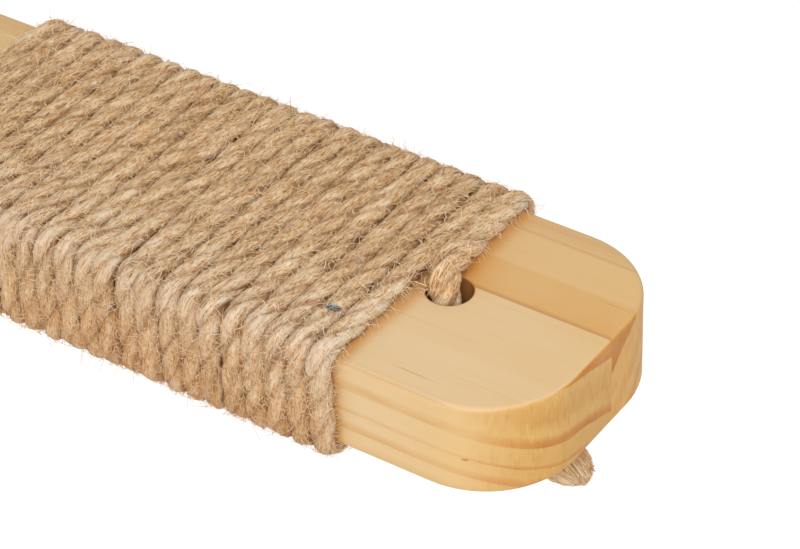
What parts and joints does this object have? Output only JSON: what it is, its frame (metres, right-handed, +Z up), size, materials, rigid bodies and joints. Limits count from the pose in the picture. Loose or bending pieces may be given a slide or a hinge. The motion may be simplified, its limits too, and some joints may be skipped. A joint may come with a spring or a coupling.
{
  "type": "cat wall step",
  "caption": "Pine wall step with a rounded free end, wound with jute rope whose knotted ends pass through the board, held on a concealed steel plate with rods.",
  "frame": {"origin": "centre of the wall plate's back face, on the wall plane at the board's mid-height", "axes": "+Y into the wall, +Z up, +X along the wall; the step reaches out from the wall towards -Y"},
  "size_m": [0.111, 0.3, 0.0737],
  "materials": {
    "pine": "sanded and clear-coated satin",
    "jute": "natural laid fibre",
    "zinc_steel": "zinc plated"
  },
  "bodies": {
    "root": {"board_stave_wide": "pine", "board_stave_narrow": "pine", "rope_winding": "jute", "rope_tail_free_end": "jute", "rope_knot_free_end": "jute", "rope_free_stretch": "jute", "rope_cut_end": "jute", "rope_tail_wall_end": "jute", "rope_knot_wall_end": "jute", "wall_plate": "zinc_steel", "support_rod_left": "zinc_steel", "support_rod_right": "zinc_steel", "lock_screws": "zinc_steel"}
  },
  "joints": []
}
